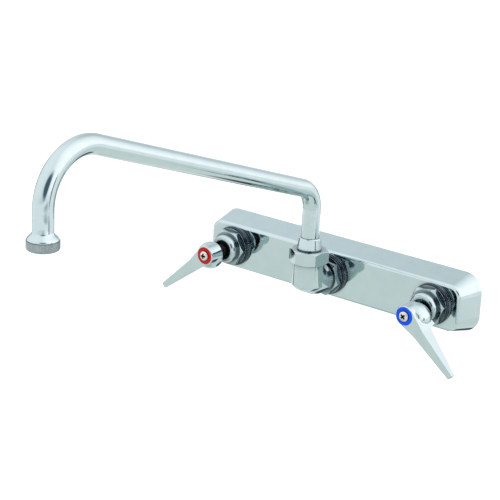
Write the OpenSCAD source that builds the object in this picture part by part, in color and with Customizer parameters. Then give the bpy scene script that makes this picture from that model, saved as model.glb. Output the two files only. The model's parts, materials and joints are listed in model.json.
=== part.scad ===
// Commercial wall faucet: two lever valves on a flared chrome casing, and a swing nozzle on an elbow.
// The wall is the plane y = 0, the user stands at -y, and z = 0 is the height of the valve axes.

/* [Layout] */
// Distance between the two valve axes
valve_spacing = 203.2; // [180:0.1:240]
// Distance from the wall to the nozzle's riser
riser_offset = 54.7; // [54:0.1:60]
// Horizontal distance from the riser to the outlet
nozzle_reach = 304.8; // [200:0.1:360]

/* [Casing] */
// Distance from each valve axis to the end of the front face, to its sharp edge
case_end = 24.8; // [23:0.1:35]
// Height of the front face, to its sharp edges
case_h = 38.4; // [38:0.1:48]
// Distance from the wall to the front face
case_d = 24.5; // [20:0.1:30]
// How far each side flares out from the front face to the wall
case_flare = 5.9; // [2:0.1:9]
// Corner radius of the front face
case_corner_r = 9.9; // [6:0.1:14]
// Radius of the rolled front edge
case_edge_r = 2.8; // [1:0.1:4]
// Wall thickness
case_wall = 2.4; // [1.5:0.1:2.6]

/* [Mixing body] */
// Radius of the valve and outlet chambers
chamber_r = 14; // [13.6:0.1:16]
// Radius of the threaded spigots that come through the casing
spigot_r = 13; // [12:0.1:13.4]
// Radius of the cross tube
cross_r = 9; // [8:0.1:9.6]
// Bore of the cross tube
cross_bore_r = 6; // [4:0.1:7]
// Radius of the male inlet shanks, half inch pipe thread
inlet_r = 10.67; // [10:0.01:12]
// Length of the inlet shanks behind the wall face
inlet_len = 28; // [20:0.5:60]
// Bore of the inlet shanks
inlet_bore_r = 6.5; // [4:0.1:7.5]

/* [Valve fittings] */
// Radius of the thin washers on the casing
washer_r = 17.4; // [17:0.1:18.8]
// Thickness of those washers
washer_t = 1.2; // [0.8:0.1:2]
// Radius of the round lock rings
lock_r = 16.9; // [16:0.1:18]
// Thickness of the lock rings
lock_t = 2.6; // [2:0.1:3.5]
// Hexagon of the bonnets and of the elbow's lock nut, across flats
hex_af = 28.8; // [27:0.1:30]
// Height of the bonnet's hexagon
bonnet_hex_h = 4.8; // [3.5:0.1:7]
// Radius of the bonnet's dome
dome_r = 12.2; // [11:0.1:14.4]
// Height of the bonnet's dome
dome_h = 7.4; // [6:0.1:9]
// Rounding of the dome
dome_round_r = 3.9; // [1.5:0.1:4]
// Radius of the valve stem
stem_r = 5.2; // [4:0.05:5.6]

/* [Handles] */
// Gap between the bonnet and the back of the lever's root
handle_gap = 2.5; // [1:0.1:6]
// Depth of the hub, back to front
hub_h = 20.9; // [19:0.1:26]
// Radius of the hub at its front
hub_r = 8.35; // [8.2:0.05:9]
// Length of the lever from the valve axis to its tip
lever_len = 60; // [40:0.5:90]
// Half the lever's width at its root
lever_root_half = 5.2; // [4:0.1:7]
// Half the lever's width at its tip
lever_tip_half = 2.35; // [1.5:0.1:4]
// Depth of the lever at its root
lever_root_d = 12.4; // [8:0.1:16]
// Depth of the lever at its tip
lever_tip_d = 4.2; // [2:0.1:6]
// Angle of the levers below the horizontal
lever_droop = 40.5; // [0:0.5:80]
// Outer radius of the index rings
index_r = 7.4; // [6.5:0.1:7.6]

/* [Elbow] */
// Radius of the elbow's neck, bend and barrel
elbow_r = 13; // [12:0.1:13.2]
// Bend radius of the elbow's centre line
elbow_bend_r = 13.6; // [13.4:0.1:15]
// Water bore of the elbow
elbow_bore_r = 6.2; // [4:0.1:7]
// Hexagon collar on the barrel, across flats
collar_af = 28.8; // [27:0.1:32]
// Height of the collar's underside above the valve axes
collar_z = 17.4; // [16:0.1:22]
// Height of the collar
collar_h = 11.4; // [10:0.1:14]

/* [Nozzle] */
// Outer radius of the nozzle tube
tube_r = 7.5; // [7.2:0.05:7.7]
// Wall of the nozzle tube
tube_wall = 1.2; // [1:0.05:2]
// Height where the riser and the run would meet, above the valve axes
riser_corner_z = 78.65; // [70:0.05:110]
// Rise of the run over the reach
run_rise = 99.7; // [60:0.1:120]
// Radius of the rear bend
rear_bend_r = 22; // [15:0.5:30]
// Radius of the front bend
front_bend_r = 38; // [24:0.5:44]
// Height of the outlet's mouth above the valve axes
outlet_z = 98.7; // [60:0.1:104]
// Outer radius of the outlet tip
tip_r = 11.6; // [11:0.1:14]
// Height of the outlet tip
tip_h = 6.8; // [6:0.1:10]

/* [Hidden] */

// Clearances shared by all the pieces
slip = 0.05;
fit_gap = 0.1;
seat_gap = 0.2;
cut_over = 1;
side_count = 2;

// Finishes
CHROME = [0.80, 0.83, 0.86];
DARK_CHROME = [0.42, 0.46, 0.50];
BRASS = [0.72, 0.58, 0.30];
RUBBER = [0.10, 0.10, 0.11];
CERAMIC = [0.90, 0.90, 0.86];
SATIN = [0.60, 0.62, 0.62];
RED = [0.78, 0.06, 0.08];
BLUE = [0.02, 0.22, 0.85];

hot_x = -valve_spacing / 2;
cold_x = valve_spacing / 2;

// Casing values
case_w = valve_spacing + side_count * case_end;
inner_front = case_d - case_wall;
spigot_gap = 0.4;

// Stations along a valve axis, as distances from the wall
chamber_back = 1.2;
seat_depth = 15.1;
seat_at = inner_front - seat_depth;
chamber_front = inner_front - seat_gap;
washer_front = case_d + washer_t;
spigot_front = washer_front + lock_t;
thread_len = 11.3;
thread_end = spigot_front - thread_len;
cross_at = (chamber_back + chamber_front) / 2;

// Radii inside the chambers
shank_r = 10.6;
chamber_bore_r = 9.6;
outlet_thread_r = 10.2;
outlet_bore_r = 8;
outlet_floor = 4.5;

// Valve cartridge, from the seat outwards
seal_t = 1.3;
seal_hole_r = 5.5;
fixed_disc_r = 8.2;
fixed_disc_t = 2.5;
moving_disc_r = 7.6;
moving_disc_t = 2.35;
port_r = 2.1;
port_at = 4.3;
foot_t = 1.6;
foot_w = 6;
sleeve_web_t = 1.9;
sleeve_wall = 1.15;
sleeve_window_w = 8;
seal_front = seat_at + seal_t;
fixed_front = seal_front + fixed_disc_t;
moving_back = fixed_front + slip;
moving_front = moving_back + moving_disc_t;
foot_front = moving_front + foot_t;
sleeve_r = chamber_bore_r - fit_gap;
sleeve_front = thread_end - fit_gap;
sleeve_web_back = sleeve_front - sleeve_web_t;
stem_seal_r = 0.48;
stem_seal_depth = 1.3;
stem_seal_at = spigot_front - stem_seal_depth;
stem_groove_h = 1.3;

// Bonnet, from the spigot's end outwards
flange_r = 16.3;
flange_t = 1;
hex_chamfer = 1.1;
hex_face_r = 14.35;
bonnet_hex_front = spigot_front + flange_t + bonnet_hex_h;
bonnet_front = bonnet_hex_front + dome_h;
mouth_r = 7.8;
mouth_depth = 3;
lock_groove = 0.6;
cold_nut_turn = 8;

// Handle, from its back outwards
hub_back = bonnet_front + handle_gap;
hub_front = hub_back + hub_h;
hub_edge_r = 0.7;
hub_lip = 0.7;
index_depth = 3.9;
socket_r = 4.5;
socket_sides = 8;
web_t = 3;
screw_r = 1.9;
screw_hole_r = 2.2;
screw_head_r = 4.15;
screw_head_proud = 2.3;
screw_head_t = 3.9;
screw_crown_h = 1.5;
screw_len = 12;
slot_w = 1.3;
slot_len = 5.4;
slot_depth = 1.6;
index_bore_r = 4.3;
index_front = hub_front - fit_gap;
index_back = hub_front - index_depth;
socket_front = index_back - web_t;
stem_front = socket_front - seat_gap;
hub_back_r = 8.8;
hub_heel = 7.4;
bulb_r = 11.8;
bulb_out = 4.6;
bulb_back = 8.5;
bulb_at = hub_back + bulb_back;
lever_sink = 0.3;
lever_front = hub_front - lever_sink;
lever_heel = 17;
lever_shoulder = 18.6;
lever_shoulder_half = 4.9;
lever_tip_r = 1.2;
root_flare_share = 1.45;

// Elbow values, with heights from the valve axes
neck_front = riser_offset - elbow_bend_r;
elbow_nut_h = 6.7;
elbow_nut_front = spigot_front + elbow_nut_h;
collar_top = collar_z + collar_h;
collar_chamfer = 1.4;
collar_face_r = 14.1;
collar_turn = 25;
elbow_nut_turn = 46;
corner_ball_r = 16.9;
corner_ball_z = 9;
nut_thread_r = 9.7;
nut_thread_len = 9.4;
socket_floor = elbow_bend_r;
foot_bore_r = 8.1;
shoulder_z = 17.2;

// Nozzle values
bore_r = tube_r - tube_wall;
foot_z = socket_floor + fit_gap;
nozzle_seal_r = 0.5;
nozzle_seal_lift = 1.6;
nozzle_seal_z = foot_z + nozzle_seal_lift;
ring_r = 9.2;
ring_t = 1.4;
ring_z = shoulder_z + fit_gap;
ring_groove = 0.5;
seal_groove_h = 1.2;
nut_bottom_r = 10.05;
nut_top_r = 9;
nut_neck_r = 9.3;
nut_neck_h = 0.8;
nut_skirt_h = 10;
nut_edge = 0.5;
incline = atan2(run_rise, nozzle_reach);
bend_thin = 0.02;
lap = 0.3;
rear_tangent = rear_bend_r * tan((90 - incline) / 2);
front_tangent = front_bend_r * tan((90 + incline) / 2);
front_corner_z = riser_corner_z + run_rise;
run_len = nozzle_reach / cos(incline) - rear_tangent - front_tangent;
bend_z = riser_corner_z - rear_tangent;
run_y = -riser_offset - rear_tangent * cos(incline);
run_z = riser_corner_z + rear_tangent * sin(incline);
leg_y = -riser_offset - nozzle_reach;
leg_z = front_corner_z - front_tangent;
tip_top = outlet_z + tip_h;
flare_h = 5.6;
flare_top = tip_top + flare_h;
flare_r = 11.1;
flare_bore_r = 8.6;
tip_lip_t = 1.2;
tip_lip_r = 7.9;
tip_round_r = 1.8;
straightener_t = 1.5;
outlet_washer_t = 1;
tip_thread_r = 9.9;
tip_bore_r = 10;
tip_land_r = 9.4;
disc_hole_r = 0.75;
disc_pitch = 2.7;
disc_rings = 2;

// Turns a shape drawn along z so that it stands out of the wall at x
module out_of_wall(x) {
  translate([x, 0, 0]) rotate([90, 0, 0]) children();
}

// Puts a shape drawn in the xy plane into the plane of the nozzle
module in_nozzle_plane() {
  rotate([90, 0, 90]) children();
}

// A round solid between two distances from the wall
module disc(r, from, to) {
  translate([0, 0, from]) cylinder(r = r, h = to - from, $fn = 96);
}

// A hexagon between two stations, its corners cut back by a cone at both ends
module chamfered_hex(af, from, to, chamfer, face_r) {
  corner_r = af / sqrt(3);
  height = to - from;
  translate([0, 0, from]) intersection() {
    cylinder(r = corner_r, h = height, $fn = 6);
    rotate_extrude($fn = 96) polygon([[0, 0], [face_r, 0], [corner_r, chamfer],
      [corner_r, height - chamfer], [face_r, height], [0, height]]);
  }
}

// Half of the casing's section: a flaring side with a rolled front edge
module flared_corner(r, d, flare, edge_r) {
  lean = atan2(flare, d);
  inset = edge_r / tan((90 + lean) / 2);
  c = [r - inset, d - edge_r];
  side = c + edge_r * [cos(lean), sin(lean)];
  reach = 2 * edge_r;
  polygon([[0, 0], [r + flare, 0], side, c, [c[0], d], [0, d]]);
  if (edge_r > 0) intersection() {
    translate(c) circle(r = edge_r, $fn = 64);
    polygon([c, c + reach * [cos(lean), sin(lean)], c + reach * [1, 1], c + reach * [0, 1]]);
  }
}

// The whole flared box, its corners revolved and its sides extruded
module flared_box(w, h, d, flare, r, edge_r) {
  half_w = w / 2 - r;
  half_h = h / 2 - r;
  for (turn = [0, 180]) rotate([0, 0, turn]) {
    translate([-half_w, half_h, 0]) rotate([90, 0, 90]) linear_extrude(2 * half_w)
      flared_corner(r, d, flare, edge_r);
    translate([half_w, half_h, 0]) rotate([90, 0, 0]) linear_extrude(2 * half_h)
      flared_corner(r, d, flare, edge_r);
    translate([half_w, half_h, 0]) rotate_extrude(angle = 90, $fn = 96)
      flared_corner(r, d, flare, edge_r);
    translate([-half_w, half_h, 0]) rotate([0, 0, 90]) rotate_extrude(angle = 90, $fn = 96)
      flared_corner(r, d, flare, edge_r);
  }
  translate([-half_w, -half_h, 0]) cube([2 * half_w, 2 * half_h, d]);
}

module casing() {
  color(CHROME) out_of_wall(0) difference() {
    flared_box(case_w, case_h, case_d, case_flare, case_corner_r, case_edge_r);
    translate([0, 0, -cut_over])
      flared_box(case_w - 2 * case_wall, case_h - 2 * case_wall, inner_front + cut_over,
        case_flare, case_corner_r - case_wall, 0);
    for (x = [hot_x, 0, cold_x]) translate([x, 0, 0])
      disc(spigot_r + spigot_gap, inner_front - cut_over, case_d + cut_over);
  }
}

module chamber_outside(x, back) {
  translate([x, 0, 0]) {
    disc(chamber_r, back, chamber_front);
    disc(spigot_r, chamber_front, spigot_front);
  }
}

module mixing_body() {
  color(BRASS) out_of_wall(0) difference() {
    union() {
      for (x = [hot_x, cold_x]) {
        chamber_outside(x, chamber_back);
        translate([x, 0, 0]) disc(inlet_r, -inlet_len, chamber_back);
      }
      chamber_outside(0, 0);
      translate([hot_x, 0, cross_at]) rotate([0, 90, 0])
        cylinder(r = cross_r, h = valve_spacing, $fn = 96);
    }
    for (x = [hot_x, cold_x]) translate([x, 0, 0]) {
      disc(shank_r + fit_gap, thread_end, spigot_front + cut_over);
      disc(chamber_bore_r, seat_at, thread_end);
      disc(inlet_bore_r, -inlet_len - cut_over, seat_at);
    }
    disc(outlet_thread_r + fit_gap, thread_end, spigot_front + cut_over);
    disc(outlet_bore_r, outlet_floor, thread_end);
    translate([hot_x, 0, cross_at]) rotate([0, 90, 0])
      cylinder(r = cross_bore_r, h = valve_spacing, $fn = 96);
  }
}

module face_washer(x) {
  color(CHROME) out_of_wall(x) difference() {
    disc(washer_r, case_d, washer_front);
    disc(spigot_r + spigot_gap, case_d - cut_over, washer_front + cut_over);
  }
}

module lock_ring(x) {
  color(DARK_CHROME) out_of_wall(x) translate([0, 0, washer_front]) rotate_extrude($fn = 96)
    difference() {
      translate([spigot_r + slip, 0]) square([lock_r - spigot_r - slip, lock_t]);
      for (k = [1, 2]) translate([lock_r, k * lock_t / 3]) rotate(45)
        square(lock_groove, center = true);
    }
}

module bonnet(x, turn) {
  color(CHROME) out_of_wall(x) rotate([0, 0, turn]) difference() {
    union() {
      disc(shank_r, thread_end, spigot_front);
      disc(flange_r, spigot_front, spigot_front + flange_t);
      chamfered_hex(hex_af, spigot_front + flange_t, bonnet_hex_front, hex_chamfer, hex_face_r);
      translate([0, 0, bonnet_hex_front]) rotate_extrude($fn = 96) {
        square([dome_r, dome_h - dome_round_r]);
        square([dome_r - dome_round_r, dome_h]);
        intersection() {
          translate([dome_r - dome_round_r, dome_h - dome_round_r])
            circle(r = dome_round_r, $fn = 96);
          translate([dome_r - dome_round_r, dome_h - dome_round_r]) square(dome_round_r);
        }
      }
    }
    disc(stem_r + slip, thread_end - cut_over, bonnet_front + cut_over);
    disc(mouth_r, bonnet_front - mouth_depth, bonnet_front + cut_over);
  }
}

module elbow_lock_nut() {
  color(CHROME) out_of_wall(0) rotate([0, 0, elbow_nut_turn]) difference() {
    union() {
      disc(flange_r, spigot_front, spigot_front + flange_t);
      chamfered_hex(hex_af, spigot_front + flange_t, elbow_nut_front, hex_chamfer, hex_face_r);
    }
    disc(outlet_thread_r + slip, spigot_front - cut_over, elbow_nut_front + cut_over);
  }
}

module cartridge_sleeve(x) {
  color(BRASS) out_of_wall(x) difference() {
    disc(sleeve_r, seat_at, sleeve_front);
    disc(sleeve_r - sleeve_wall, seat_at - cut_over, sleeve_web_back);
    disc(stem_r + slip, sleeve_web_back - cut_over, sleeve_front + cut_over);
    translate([-chamber_r, -sleeve_window_w / 2, fixed_front])
      cube([2 * chamber_r, sleeve_window_w, sleeve_web_back - fixed_front]);
  }
}

module seat_seal(x) {
  color(RUBBER) out_of_wall(x) difference() {
    disc(fixed_disc_r, seat_at, seal_front);
    disc(seal_hole_r, seat_at - cut_over, seal_front + cut_over);
  }
}

// A ceramic disc with two ports, turned by an angle
module ported_disc(r, from, to, turn) {
  difference() {
    disc(r, from, to);
    for (side = [0, 180]) rotate([0, 0, turn + side]) translate([port_at, 0, 0])
      disc(port_r, from - cut_over, to + cut_over);
  }
}

module fixed_disc(x) {
  color(CERAMIC) out_of_wall(x) ported_disc(fixed_disc_r, seal_front, fixed_front, 0);
}

module moving_disc(x) {
  color(CERAMIC) out_of_wall(x) ported_disc(moving_disc_r, moving_back, moving_front, 90);
}

module stem(x) {
  color(BRASS) out_of_wall(x) difference() {
    union() {
      intersection() {
        disc(moving_disc_r, moving_front, foot_front);
        translate([-moving_disc_r, -foot_w / 2, moving_front])
          cube([2 * moving_disc_r, foot_w, foot_t]);
      }
      disc(stem_r, foot_front, hub_back);
      translate([0, 0, hub_back])
        cylinder(r = socket_r - fit_gap, h = stem_front - hub_back, $fn = socket_sides);
    }
    translate([0, 0, stem_seal_at]) rotate_extrude($fn = 96)
      translate([stem_r - 2 * stem_seal_r, -stem_groove_h / 2])
        square([stem_r, stem_groove_h]);
    disc(screw_r + slip, stem_front - screw_len + web_t, stem_front + cut_over);
  }
}

module stem_seal(x) {
  color(RUBBER) out_of_wall(x) translate([0, 0, stem_seal_at]) rotate_extrude($fn = 96)
    translate([stem_r - stem_seal_r, 0]) circle(r = stem_seal_r, $fn = 32);
}

// The whole handle seen from the side: along the lever, and out of the wall
module handle_side() {
  far = hub_back_r + cut_over;
  difference() {
    polygon([[-far, hub_back + hub_heel], [lever_heel, hub_back],
      [lever_shoulder, lever_front - lever_root_d], [lever_len, lever_front - lever_tip_d],
      [lever_len, lever_front], [far, lever_front], [far, hub_front], [-far, hub_front]]);
    translate([lever_len - lever_tip_r, lever_front - lever_tip_r]) difference() {
      square(2 * lever_tip_r);
      circle(r = lever_tip_r, $fn = 48);
    }
  }
}

// The lever seen from the front: tapering from its flared root to its tip
module lever_outline() {
  polygon([[0, -hub_r], [hub_r / 2, -lever_root_half * root_flare_share],
    [lever_shoulder, -lever_shoulder_half], [lever_len, -lever_tip_half],
    [lever_len, lever_tip_half], [lever_shoulder, lever_shoulder_half],
    [hub_r / 2, lever_root_half * root_flare_share], [0, hub_r]]);
}

// One lever handle; the lever points along the given angle, seen from the front
module lever_handle(x, angle) {
  color(CHROME) out_of_wall(x) rotate([0, 0, angle]) difference() {
    intersection() {
      union() {
        rotate_extrude($fn = 96) polygon([[0, hub_back], [hub_back_r, hub_back],
          [hub_r, hub_front - hub_lip], [hub_r - hub_lip, hub_front], [0, hub_front]]);
        intersection() {
          translate([bulb_out, 0, bulb_at]) sphere(r = bulb_r, $fn = 96);
          disc(bulb_r + bulb_out + cut_over, hub_back, hub_front - index_depth);
        }
        translate([0, 0, hub_back]) linear_extrude(lever_front - hub_back) lever_outline();
      }
      rotate([90, 0, 0]) translate([0, 0, -lever_len / 2]) linear_extrude(lever_len)
        handle_side();
    }
    translate([0, 0, hub_back - cut_over])
      cylinder(r = socket_r, h = socket_front - hub_back + cut_over, $fn = socket_sides);
    disc(screw_hole_r, socket_front - cut_over, index_back + cut_over);
    disc(index_r + fit_gap, index_back, hub_front + cut_over);
  }
}

module index_ring(x, tint) {
  color(tint) out_of_wall(x) difference() {
    disc(index_r, index_back, index_front);
    disc(index_bore_r, hub_front - screw_head_t + screw_head_proud, hub_front);
    disc(screw_hole_r, index_back - cut_over, hub_front);
  }
}

module handle_screw(x) {
  head_back = hub_front - screw_head_t + screw_head_proud;
  head_front = head_back + screw_head_t;
  crown_r = (screw_head_r * screw_head_r + screw_crown_h * screw_crown_h) / (2 * screw_crown_h);
  color(CHROME) out_of_wall(x) difference() {
    union() {
      disc(screw_r, stem_front - screw_len + web_t + seat_gap, head_back);
      intersection() {
        disc(screw_head_r, head_back, head_front);
        translate([0, 0, head_front - crown_r]) sphere(r = crown_r, $fn = 96);
      }
    }
    for (turn = [45, 135]) rotate([0, 0, turn]) translate([-slot_len / 2, -slot_w / 2,
      head_front - slot_depth]) cube([slot_len, slot_w, slot_depth + cut_over]);
  }
}

module elbow() {
  color(CHROME) difference() {
    union() {
      out_of_wall(0) {
        disc(elbow_r, elbow_nut_front + seat_gap, neck_front);
        disc(outlet_thread_r, thread_end, elbow_nut_front + seat_gap);
      }
      elbow_bend(elbow_r);
      translate([0, -riser_offset, 0]) {
        disc(elbow_r, elbow_bend_r, collar_z + cut_over);
        intersection() {
          disc(elbow_r - slip, -elbow_r, elbow_bend_r + lap);
          translate([0, 0, corner_ball_z]) sphere(r = corner_ball_r, $fn = 96);
        }
        rotate([0, 0, collar_turn])
          chamfered_hex(collar_af, collar_z, collar_top, collar_chamfer, collar_face_r);
      }
    }
    out_of_wall(0) disc(elbow_bore_r, thread_end - cut_over, neck_front);
    elbow_bend(elbow_bore_r);
    translate([0, -riser_offset, 0]) {
      disc(foot_bore_r, socket_floor, shoulder_z);
      disc(nut_thread_r + fit_gap, shoulder_z, collar_top + cut_over);
    }
  }
}

// The quarter bend from the neck up to the barrel
module elbow_bend(r) {
  in_nozzle_plane() translate([-neck_front, elbow_bend_r]) rotate([0, 0, 180])
    rotate_extrude(angle = 90, $fn = 96) translate([elbow_bend_r, 0]) circle(r = r, $fn = 96);
}

module nozzle_nut() {
  thread_bottom = collar_top - nut_thread_len;
  nut_top = collar_top + nut_skirt_h;
  color(CHROME) translate([0, -riser_offset, 0]) difference() {
    rotate_extrude($fn = 96) polygon([[0, thread_bottom], [nut_thread_r, thread_bottom],
      [nut_thread_r, collar_top], [nut_neck_r, collar_top],
      [nut_neck_r, collar_top + nut_neck_h], [nut_bottom_r, collar_top + nut_neck_h],
      [nut_top_r, nut_top - nut_edge], [nut_top_r - nut_edge, nut_top], [0, nut_top]]);
    disc(tube_r + slip, thread_bottom - cut_over, nut_top + cut_over);
  }
}

// The cross-section of the nozzle's tube, its wall thinned a little where the tube is bent
module tube_section(thin) {
  difference() {
    circle(r = tube_r - thin, $fn = 96);
    circle(r = bore_r + thin, $fn = 96);
  }
}

// A bend of the tube, in the plane of the nozzle
module tube_bend(r, angle) {
  rotate_extrude(angle = angle, $fn = 96) translate([r, 0]) tube_section(bend_thin);
}

// The foot of the nozzle, with grooves for the seal and for the retaining ring
module nozzle_riser() {
  difference() {
    translate([0, 0, foot_z]) linear_extrude(bend_z + lap - foot_z) tube_section(0);
    rotate_extrude($fn = 96) {
      translate([tube_r - nozzle_seal_r, nozzle_seal_z - seal_groove_h / 2])
        square([tube_r, seal_groove_h]);
      translate([tube_r - ring_groove, ring_z]) square([tube_r, ring_t]);
    }
  }
}

// The mouth of the nozzle: a flare over a plain ring that takes the tip's thread
module nozzle_mouth() {
  mouth_bottom = outlet_z + tip_lip_t + straightener_t + outlet_washer_t;
  flare_mid = (flare_r + tube_r) / 2;
  rotate_extrude($fn = 96) polygon([[flare_bore_r, mouth_bottom], [tip_thread_r, mouth_bottom],
    [tip_thread_r, tip_top], [flare_r, tip_top], [flare_r, tip_top + flare_h / 8],
    [flare_mid, tip_top + flare_h / 2], [(flare_mid + tube_r) / 2, tip_top + flare_h * 3 / 4],
    [tube_r, flare_top], [bore_r, flare_top], [flare_bore_r, tip_top]]);
}

module swing_nozzle() {
  color(CHROME) {
    translate([0, -riser_offset, 0]) nozzle_riser();
    in_nozzle_plane() {
      translate([-riser_offset - rear_bend_r, bend_z]) tube_bend(rear_bend_r, 90 - incline);
      translate([run_y, run_z]) rotate([0, 90, 180 - incline]) translate([0, 0, -lap])
        linear_extrude(run_len + 2 * lap) tube_section(0);
      translate([leg_y + front_bend_r, leg_z]) rotate([0, 0, 90 - incline])
        tube_bend(front_bend_r, 90 + incline);
    }
    translate([0, leg_y, flare_top]) linear_extrude(leg_z + lap - flare_top) tube_section(0);
    translate([0, leg_y, 0]) nozzle_mouth();
  }
}

module nozzle_retaining_ring() {
  color(BRASS) translate([0, -riser_offset, 0]) difference() {
    disc(ring_r, ring_z, ring_z + ring_t);
    disc(tube_r - ring_groove, ring_z - cut_over, ring_z + ring_t + cut_over);
    translate([0, -ring_t / 2, ring_z - cut_over])
      cube([ring_r + cut_over, ring_t, ring_t + 2 * cut_over]);
  }
}

module nozzle_seal() {
  color(RUBBER) translate([0, -riser_offset, nozzle_seal_z]) rotate_extrude($fn = 96)
    translate([tube_r, 0]) circle(r = nozzle_seal_r, $fn = 32);
}

module outlet_tip() {
  color(SATIN) translate([0, leg_y, outlet_z]) difference() {
    rotate_extrude($fn = 96) {
      translate([0, tip_round_r]) square([tip_r, tip_h - tip_round_r]);
      square([tip_r - tip_round_r, tip_h]);
      intersection() {
        translate([tip_r - tip_round_r, tip_round_r]) circle(r = tip_round_r, $fn = 96);
        translate([tip_r - tip_round_r, 0]) square(tip_round_r);
      }
    }
    disc(tip_lip_r, -cut_over, tip_h + cut_over);
    disc(tip_bore_r, tip_lip_t, tip_h + cut_over);
  }
}

module outlet_washer() {
  bottom = outlet_z + tip_lip_t + straightener_t;
  color(RUBBER) translate([0, leg_y, 0]) difference() {
    disc(tip_thread_r, bottom, bottom + outlet_washer_t);
    disc(tip_lip_r, bottom - cut_over, bottom + outlet_washer_t + cut_over);
  }
}

module flow_straightener() {
  bottom = outlet_z + tip_lip_t;
  color(SATIN) translate([0, leg_y, 0]) difference() {
    disc(tip_thread_r, bottom, bottom + straightener_t);
    disc(disc_hole_r, bottom - cut_over, bottom + straightener_t + cut_over);
    for (ring = [1 : disc_rings], k = [1 : 6 * ring]) rotate([0, 0, k * 60 / ring])
      translate([ring * disc_pitch, 0, 0])
        disc(disc_hole_r, bottom - cut_over, bottom + straightener_t + cut_over);
  }
}

casing();
mixing_body();
face_washer(hot_x);  // hot_face_washer
face_washer(cold_x);  // cold_face_washer
face_washer(0);  // outlet_face_washer
lock_ring(hot_x);  // hot_lock_ring
lock_ring(cold_x);  // cold_lock_ring
lock_ring(0);  // outlet_lock_ring
bonnet(hot_x, 0);  // hot_bonnet
bonnet(cold_x, cold_nut_turn);  // cold_bonnet
elbow_lock_nut();
cartridge_sleeve(hot_x);  // hot_cartridge_sleeve
cartridge_sleeve(cold_x);  // cold_cartridge_sleeve
seat_seal(hot_x);  // hot_seat_seal
seat_seal(cold_x);  // cold_seat_seal
fixed_disc(hot_x);  // hot_fixed_disc
fixed_disc(cold_x);  // cold_fixed_disc
moving_disc(hot_x);  // hot_moving_disc
moving_disc(cold_x);  // cold_moving_disc
stem(hot_x);  // hot_stem
stem(cold_x);  // cold_stem
stem_seal(hot_x);  // hot_stem_seal
stem_seal(cold_x);  // cold_stem_seal
lever_handle(hot_x, 180 + lever_droop);  // hot_lever_handle
lever_handle(cold_x, -lever_droop);  // cold_lever_handle
index_ring(hot_x, RED);  // hot_index_ring
index_ring(cold_x, BLUE);  // cold_index_ring
handle_screw(hot_x);  // hot_handle_screw
handle_screw(cold_x);  // cold_handle_screw
elbow();
nozzle_nut();
swing_nozzle();
nozzle_retaining_ring();
nozzle_seal();
outlet_tip();
outlet_washer();
flow_straightener();
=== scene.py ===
# %% [markdown]
# # A commercial wall faucet
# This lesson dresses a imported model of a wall-mounted kitchen faucet: a flared chrome casing, two lever valves and
# a long bent nozzle that swings. The model comes in as a fixed frame, so every piece added here is made in metres
# and in the same place as the real one. Nothing in the frame is moved; it only gets finishes, or a finer piece
# that stands for one of its nodes.
# %% Load the frame
import json
import math
import bmesh
import bpy
from mathutils import Matrix, Vector

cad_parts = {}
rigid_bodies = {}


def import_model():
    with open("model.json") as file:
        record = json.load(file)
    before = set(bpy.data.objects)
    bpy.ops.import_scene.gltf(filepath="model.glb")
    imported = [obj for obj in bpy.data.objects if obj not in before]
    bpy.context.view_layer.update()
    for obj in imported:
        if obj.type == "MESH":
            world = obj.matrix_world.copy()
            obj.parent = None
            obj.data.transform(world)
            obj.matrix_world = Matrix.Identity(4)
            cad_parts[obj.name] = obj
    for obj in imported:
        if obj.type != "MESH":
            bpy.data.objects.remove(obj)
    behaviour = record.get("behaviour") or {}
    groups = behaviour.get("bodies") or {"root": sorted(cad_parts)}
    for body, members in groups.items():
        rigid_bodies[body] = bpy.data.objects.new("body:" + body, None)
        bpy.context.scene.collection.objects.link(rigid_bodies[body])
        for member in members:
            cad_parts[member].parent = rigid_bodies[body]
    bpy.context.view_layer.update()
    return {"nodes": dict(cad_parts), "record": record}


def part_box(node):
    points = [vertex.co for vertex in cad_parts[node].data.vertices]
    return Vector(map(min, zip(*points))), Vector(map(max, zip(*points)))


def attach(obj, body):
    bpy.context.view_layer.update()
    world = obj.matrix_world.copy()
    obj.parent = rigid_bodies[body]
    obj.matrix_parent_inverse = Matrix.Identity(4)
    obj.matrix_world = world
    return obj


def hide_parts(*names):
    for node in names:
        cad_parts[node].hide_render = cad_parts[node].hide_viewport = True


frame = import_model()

# %% [markdown]
# ## The camera
# A long lens well to the right of the faucet and a little above it, turned a few degrees about its own axis, gives
# the angle from which such a faucet is usually sold: both levers, the casing's front and its end face all show.
# The camera is placed from angles about the origin, which sits on the wall between the two valves.
# %% Place the camera
AZIMUTH, ELEVATION, ROLL = (math.radians(a) for a in (37.471, 18.391, 2.815))
LENS_PIXELS, FRAME_PIXELS, SENSOR = 1649.1, 500, 36      # focal length and frame in pixels; sensor width in mm
AIM_RIGHT, AIM_UP, AWAY = -0.08095, 0.01407, 1.39557     # metres from the origin, along the camera's own axes

back = Vector((math.sin(AZIMUTH) * math.cos(ELEVATION),
               -math.cos(AZIMUTH) * math.cos(ELEVATION),
               math.sin(ELEVATION)))
level = Vector((math.cos(AZIMUTH), math.sin(AZIMUTH), 0))
over = back.cross(level)
right = level * math.cos(ROLL) + over * math.sin(ROLL)
up = over * math.cos(ROLL) - level * math.sin(ROLL)
place = right * AIM_RIGHT + up * AIM_UP + back * AWAY

camera = bpy.data.objects.new("camera", bpy.data.cameras.new("camera"))
bpy.context.scene.collection.objects.link(camera)
camera.matrix_world = Matrix((
    (right.x, up.x, back.x, place.x),
    (right.y, up.y, back.y, place.y),
    (right.z, up.z, back.z, place.z),
    (0, 0, 0, 1)))
camera.data.sensor_width = SENSOR
camera.data.lens = LENS_PIXELS / FRAME_PIXELS * SENSOR
bpy.context.scene.camera = camera
bpy.context.scene.view_settings.view_transform = "Standard"
print("camera at", [round(v, 3) for v in place])

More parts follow.
